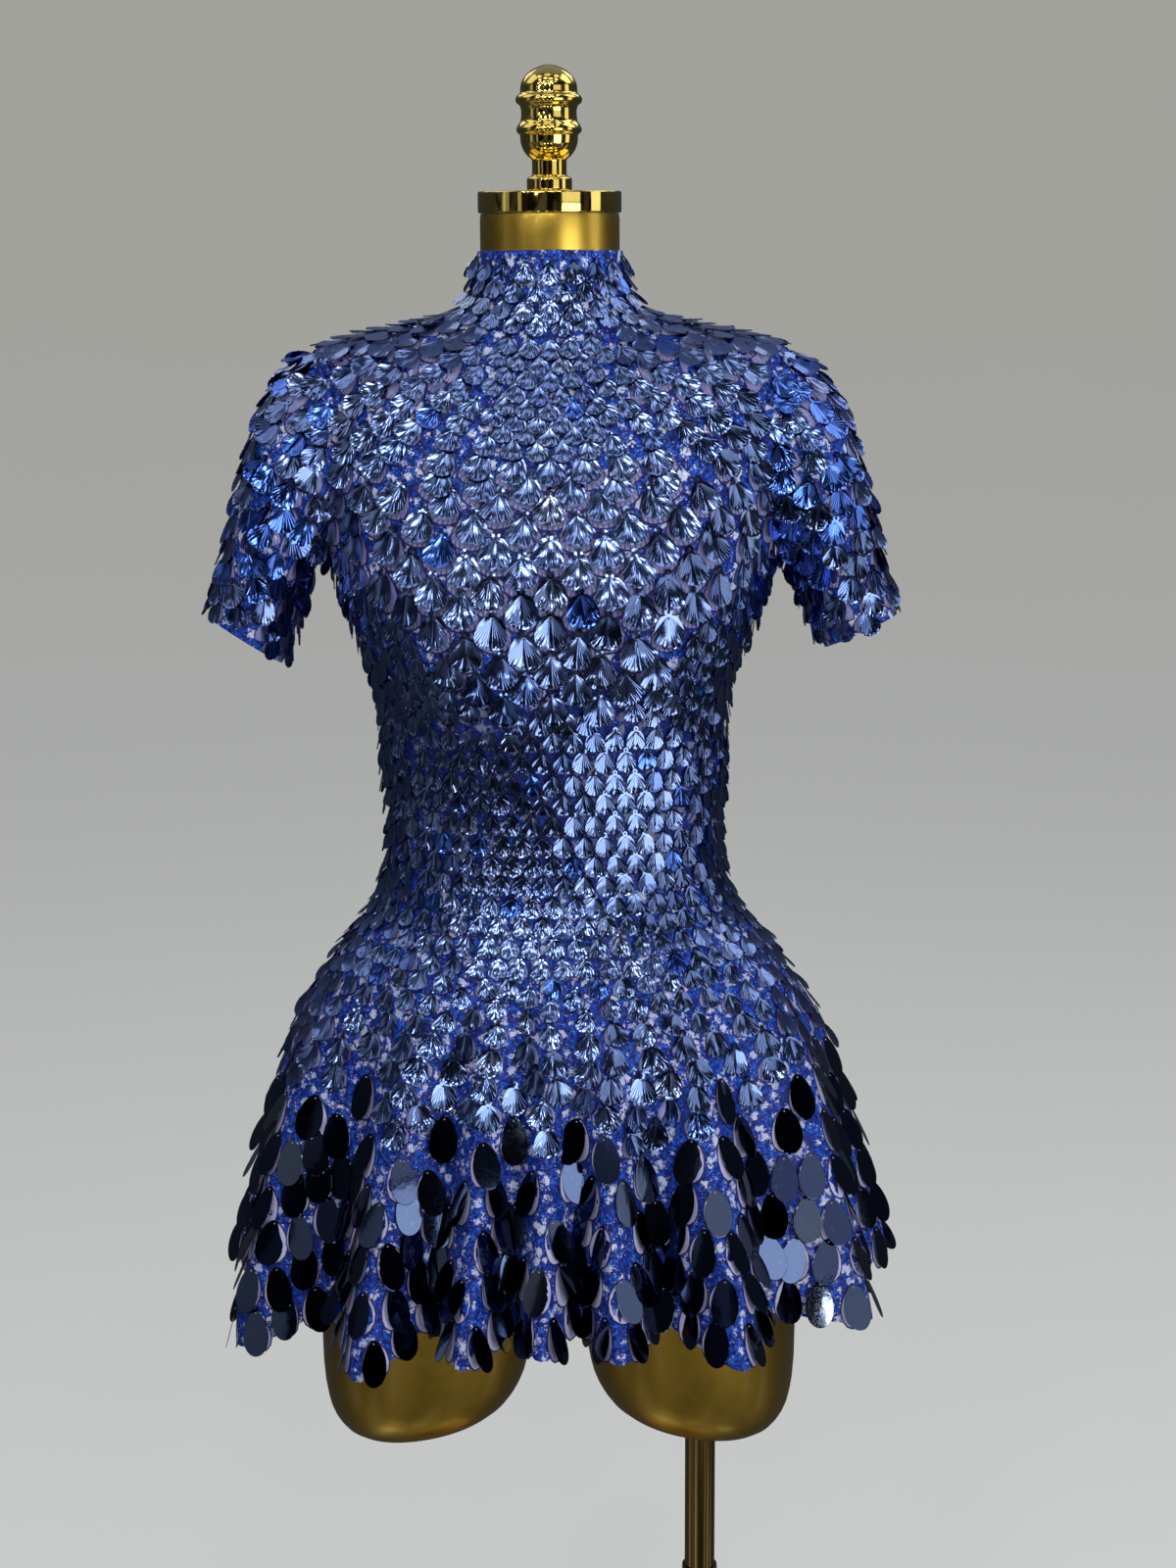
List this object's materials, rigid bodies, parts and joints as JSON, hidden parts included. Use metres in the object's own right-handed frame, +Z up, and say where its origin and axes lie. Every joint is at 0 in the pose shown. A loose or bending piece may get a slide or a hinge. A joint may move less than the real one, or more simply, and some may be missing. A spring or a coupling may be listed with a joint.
{
  "type": "sequin party dress on a limbless dress form",
  "caption": "Short fitted party dress with high collar, short sleeves and a flared skirt, covered in shell and drop sequins, on a dress form with a pole stand.",
  "frame": {"origin": "centre of the underside of the stand's round base", "axes": "+Z up, -Y towards the front of the dress, +X towards the wearer's left"},
  "size_m": [0.5271, 0.3929, 1.6211],
  "materials": {
    "printed_cloth": "stretch cloth printed in mottled cobalt blue, navy and pinkish white, pale lilac on its reverse, covered in dark mirror-blue sequins",
    "zip_coil": "fine navy nylon coil",
    "zip_metal": "navy lacquered metal",
    "form_gold": "satin bronze-gold lacquer on a moulded shell",
    "polished_brass": "mirror polished",
    "pole_brass": "polished, slightly darker",
    "black_plastic": "fine satin"
  },
  "bodies": {
    "stand": {"base": "pole_brass", "base_flange": "pole_brass", "lower_tube": "pole_brass", "height_bush": "black_plastic"},
    "form": {"upper_pole": "pole_brass", "form_torso": "form_gold", "neck_cap": "polished_brass", "finial": "polished_brass", "collar": "printed_cloth", "bodice_front": "printed_cloth", "bodice_back_left": "printed_cloth", "bodice_back_right": "printed_cloth", "sleeve_left": "printed_cloth", "sleeve_right": "printed_cloth", "skirt_front": "printed_cloth", "skirt_back": "printed_cloth", "zip_chain": "zip_coil", "zip_slider": "zip_metal"},
    "zip_pull": {"zip_pull": "zip_metal"}
  },
  "joints": [
    {"name": "height", "type": "slide", "parent": "stand", "child": "form", "axis": [0, 0, 1], "range_m": [-0.1, 0.2]},
    {"name": "pull_swing", "type": "hinge", "parent": "form", "child": "zip_pull", "pos_m": [0, 0.05867, 1.48216], "axis": [1, 0, 0], "range_deg": [0, 150]}
  ]
}
